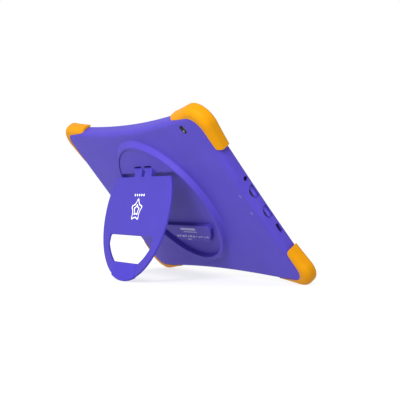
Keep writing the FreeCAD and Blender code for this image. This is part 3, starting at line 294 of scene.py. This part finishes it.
def rounded_box(half_width, half_height, radius, steps=6):
    """A rectangle with round corners, centred on the origin."""
    outline = []
    for quarter, (side, up) in enumerate(((1, 1), (-1, 1), (-1, -1), (1, -1))):
        for step in range(steps + 1):
            angle = math.pi / 2 * (quarter + step / steps)
            corner_x = side * (half_width - radius) + radius * math.cos(angle)
            corner_y = up * (half_height - radius) + radius * math.sin(angle)
            outline.append((corner_x, corner_y))
    return outline


def ring_sectors(path_out, path_in):
    """Quads between two closed paths of the same number of points."""
    count = len(path_out)
    quads = []
    for index in range(count):
        following = (index + 1) % count
        quads.append([path_out[index], path_out[following], path_in[following], path_in[index]])
    return quads


def star_path(x, y, radius, points=5, waist=0.52, rounds=3):
    """A star with rounded points, as a closed path round x, y: each round cuts every corner once."""
    path = []
    for step in range(2 * points):
        angle = math.pi * (step / points + 0.5)
        reach = radius if step % 2 == 0 else radius * waist
        path.append(Vector((x + reach * math.cos(angle), y + reach * math.sin(angle))))
    for _ in range(rounds):
        following = path[1:] + path[:1]
        path = [corner for a, b in zip(path, following) for corner in (a.lerp(b, 0.25), a.lerp(b, 0.75))]
    return path


def turned(name, profile, matrix, steps=64, sharp_degrees=40):
    """A closed profile of radius, height turned round the local z axis."""
    mesh = bpy.data.meshes.new(name)
    shape = bmesh.new()
    rings = []
    for step in range(steps):
        angle = 2 * math.pi * step / steps
        points = [Vector((r * math.cos(angle), r * math.sin(angle), h)) for r, h in profile]
        rings.append([shape.verts.new(matrix @ point) for point in points])
    for step, ring in enumerate(rings):
        following = rings[(step + 1) % steps]
        for index in range(len(profile)):
            after = (index + 1) % len(profile)
            shape.faces.new((ring[index], following[index], following[after], ring[after]))
    bmesh.ops.recalc_face_normals(shape, faces=shape.faces)
    for face in shape.faces:
        face.smooth = True
    shape.to_mesh(mesh)
    shape.free()
    mesh.set_sharp_from_angle(angle=math.radians(sharp_degrees))
    return mesh


def dome_level(x, y):
    """Height of the case's domed back, in the tablet's frame."""
    run = max(0, math.hypot(x, y - RING_UP) - DOME_START)
    return math.sqrt(DOME_RADIUS**2 - run**2) - DOME_RADIUS


def middle_of(node):
    """The middle of a CAD node's box, in the tablet's frame."""
    low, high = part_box(node)
    return TABLET.inverted() @ ((Vector(low) + Vector(high)) / 2)


# ---------------------------------------------------------------- printed marks

PRINT_HEIGHT = 0.04
SIGN_HEIGHT = 0.06

# The stand's motif: two star outlines, each an outer and an inner radius, under a row of dots.
STAR_AT = (1.3, -38.4)
STAR_BANDS = ((12.6, 10.7), (6.6, 4.6))
DOTS_EACH_SIDE = 2
DOT_MIDDLE = 1.8
DOT_LEVEL = -24.4
DOT_PITCH = 4.4
DOT_RADIUS = 1.1

motif = []
for outer, inner in STAR_BANDS:
    motif += ring_sectors(star_path(*STAR_AT, outer), star_path(*STAR_AT, inner))
for step in range(-DOTS_EACH_SIDE, DOTS_EACH_SIDE + 1):
    motif.append(rounded_bar(DOT_MIDDLE + step * DOT_PITCH, DOT_LEVEL, DOT_RADIUS, DOT_RADIUS))
mesh = raised_shapes("stand_motif", motif, STAND, STAND_FACE, PRINT_HEIGHT)
add_piece("stand_motif", mesh, "kickstand", "print_white")

# The label block's print: two bars, a row of dashes and a short bar under it. Bars are given as their
# middle, half length and half height.
LABEL_BARS = ((1.4, -28.4, 14.0, 1.3), (2.6, -31.8, 12.4, 0.5))
LABEL_LAST_BAR = (-8.0, -41.0, 4.0, 0.5)
DASH_COUNT = 12
TALL_DASHES = 7
DASH_START = -27.0
DASH_PITCH = 5.1
DASH_LEVEL = -37.6
DASH_STAGGER = 0.5
DASH_HALF_LENGTHS = (1.7, 1.2, 2.1)
TALL_DASH, LOW_DASH = 1.15, 0.6

marks = [rounded_bar(*bar) for bar in LABEL_BARS]
for step in range(DASH_COUNT):
    level = DASH_LEVEL + (step % 2) * DASH_STAGGER
    half_length = DASH_HALF_LENGTHS[step % len(DASH_HALF_LENGTHS)]
    half_height = TALL_DASH if step < TALL_DASHES else LOW_DASH
    marks.append(rounded_bar(DASH_START + step * DASH_PITCH, level, half_length, half_height))
marks.append(rounded_bar(*LABEL_LAST_BAR))
mesh = raised_shapes("label_marks", marks, TABLET, LABEL_FACE, PRINT_HEIGHT)
add_piece("label_marks", mesh, "tablet", "print_grey")

# A small raised sign beside each key, on the case's back.
SIGN_BARS = ((0, 0, 1.5, 0.35), (0.4, 1.1, 1.1, 0.3), (0.4, -1.1, 1.1, 0.3))
SIGN_ALONG = 121.6
SIGN_LEVELS = {"power_sign": 6.9, "volume_sign": -11.0}

sign = [rounded_bar(*bar) for bar in SIGN_BARS]
for name, level in SIGN_LEVELS.items():
    place = TABLET @ Matrix.Translation((SIGN_ALONG, level, dome_level(SIGN_ALONG, level)))
    mesh = raised_shapes(name, sign, place, 0, SIGN_HEIGHT)
    add_piece(name, mesh, "tablet", "print_faint")

# ---------------------------------------------------------------- camera, key and screen details

# Profiles of radius and height round the rear camera's axis, the height in the tablet's frame.
BEZEL_OUTSIDE = ((4.12, -3.9), (4.12, -1.7), (3.95, -1.45), (3.7, -1.45))
BEZEL_INSIDE = ((3.5, -1.65), (2.9, -3.0), (2.9, -3.9))
LENS_PROFILE = ((0.05, -2.35), (1.2, -2.45), (2.2, -2.75), (3.0, -3.2), (3.0, -3.5), (0.05, -3.5))

lens_at = middle_of("camera_window")
lens_place = TABLET @ Matrix.Translation((lens_at.x, lens_at.y, 0))
mesh = turned("camera_bezel", BEZEL_OUTSIDE + BEZEL_INSIDE, lens_place)
add_piece("camera_bezel", mesh, "tablet", "bezel_black")
mesh = turned("camera_lens", LENS_PROFILE, lens_place)
add_piece("camera_lens", mesh, "tablet", "lens_glass")

# A dark sheet of painted shade fills the arched space beside each key, a little below the case's wall,
# standing in for the shadow in that gap.
SHADE_PATCH_LOW = 1.75
SHADE_PATCH_CROWN = 2.35
SHADE_PATCH_ROUNDING = 1.2
SHADE_PATCH_HALF_LENGTH = 5.6
SHADE_PATCH_FROM, SHADE_PATCH_TO = 126.7, 128.6
SHADE_PATCH_STEPS = 16
# Takes an outline's x, y and level to the tablet's y, z and x.
SIDEWAYS = Matrix(((0, 0, 1, 0), (1, 0, 0, 0), (0, 1, 0, 0), (0, 0, 0, 1)))

for key in ("power_key", "volume_key"):
    key_at = middle_of(key)
    low = key_at.z + SHADE_PATCH_LOW
    outline = [(key_at.y - SHADE_PATCH_HALF_LENGTH, low), (key_at.y + SHADE_PATCH_HALF_LENGTH, low)]
    for step in range(1, SHADE_PATCH_STEPS):
        angle = math.pi * step / SHADE_PATCH_STEPS
        rise = SHADE_PATCH_CROWN * math.sin(angle) ** SHADE_PATCH_ROUNDING
        outline.append((key_at.y + SHADE_PATCH_HALF_LENGTH * math.cos(angle), low + rise))
    middle, half = (SHADE_PATCH_TO + SHADE_PATCH_FROM) / 2, (SHADE_PATCH_TO - SHADE_PATCH_FROM) / 2
    mesh = raised_shapes(key + "_painted_shade", [outline], TABLET @ SIDEWAYS, middle, half)
    add_piece(key + "_painted_shade", mesh, "tablet", "painted_shade_black")

# The screen's active area and the front camera's eye lie on the glass, as thin films.
GLASS_FACE = -13.1
FILM_HEIGHT = 0.03
SCREEN_HALF_WIDTH, SCREEN_HALF_HEIGHT, SCREEN_CORNER = 108.4, 67.8, 1.2
EYE_ALONG, EYE_LEVEL, EYE_RADIUS = 30, 76, 1.6

area = rounded_box(SCREEN_HALF_WIDTH, SCREEN_HALF_HEIGHT, SCREEN_CORNER)
mesh = raised_shapes("screen_area", [area], TABLET, GLASS_FACE, FILM_HEIGHT)
add_piece("screen_area", mesh, "tablet", "screen_dark")
eye = rounded_bar(EYE_ALONG, EYE_LEVEL, EYE_RADIUS, EYE_RADIUS, steps=24)
mesh = raised_shapes("front_camera_eye", [eye], TABLET, GLASS_FACE, FILM_HEIGHT)
add_piece("front_camera_eye", mesh, "tablet", "lens_glass")

# ---------------------------------------------------------------- floor, light and camera

WHITE = (1, 1, 1, 1)
FLOOR_HALF = 8.0
FLOOR_GLOW = 0.7

floor_mesh = bpy.data.meshes.new("studio_floor")
corners = [(side * FLOOR_HALF, end * FLOOR_HALF, 0) for side, end in ((-1, -1), (1, -1), (1, 1), (-1, 1))]
floor_mesh.from_pydata(corners, [], [(0, 1, 2, 3)])
floor = bpy.data.objects.new("studio_floor", floor_mesh)
bpy.context.scene.collection.objects.link(floor)
paper, _, paper_shader = new_material("studio_paper", (0.25, 0.25, 0.25), 0.9)
paper_shader.inputs["Emission Color"].default_value = WHITE
paper_shader.inputs["Emission Strength"].default_value = FLOOR_GLOW
floor_mesh.materials.append(paper)

world = bpy.data.worlds.new("studio")
bpy.context.scene.world = world
world.use_nodes = True
world.node_tree.nodes["Background"].inputs["Color"].default_value = WHITE
world.node_tree.nodes["Background"].inputs["Strength"].default_value = 1.0

# One round area light, which shines on the object's middle from behind, above and the port side.
KEY_DIRECTION = Vector((-0.5, 0.78, 0.48))
KEY_DISTANCE = 2.0
KEY_SIZE = 0.9
KEY_ENERGY = 50

lamp_data = bpy.data.lights.new("key_light", "AREA")
lamp_data.shape = "DISK"
lamp_data.size = KEY_SIZE
lamp_data.energy = KEY_ENERGY
lamp = bpy.data.objects.new("key_light", lamp_data)
bpy.context.scene.collection.objects.link(lamp)
lamp.location = (cad_box[0] + cad_box[1]) / 2 + KEY_DIRECTION.normalized() * KEY_DISTANCE
lamp.rotation_euler = KEY_DIRECTION.to_track_quat("Z", "Y").to_euler()

# The camera stands off the port side, behind the tablet, low and level. Its place, the way it looks
# and its own up direction are in the tablet's frame.
CAMERA_AT = Vector((800.5, 280.2, 338.5))
CAMERA_LOOK = Vector((-0.86302, -0.31942, -0.39136))
CAMERA_UP = Vector((-0.00167, 0.77652, -0.63010))
CAMERA_LENS = 87.82
CAMERA_SENSOR = 36.0
CAMERA_NEAR = 0.01

camera_data = bpy.data.cameras.new("camera")
camera_data.sensor_width = CAMERA_SENSOR
camera_data.lens = CAMERA_LENS
camera_data.clip_start = CAMERA_NEAR
camera = bpy.data.objects.new("camera", camera_data)
bpy.context.scene.collection.objects.link(camera)
tablet_turn = TABLET.to_3x3().normalized()
looking = (tablet_turn @ CAMERA_LOOK).normalized()
above = (tablet_turn @ CAMERA_UP).normalized()
aside = looking.cross(above).normalized()
above = aside.cross(looking)
camera_turn = Matrix((aside, above, -looking)).transposed().to_4x4()
camera.matrix_world = Matrix.Translation(TABLET @ CAMERA_AT) @ camera_turn
bpy.context.scene.camera = camera
bpy.context.scene.view_settings.view_transform = "Standard"
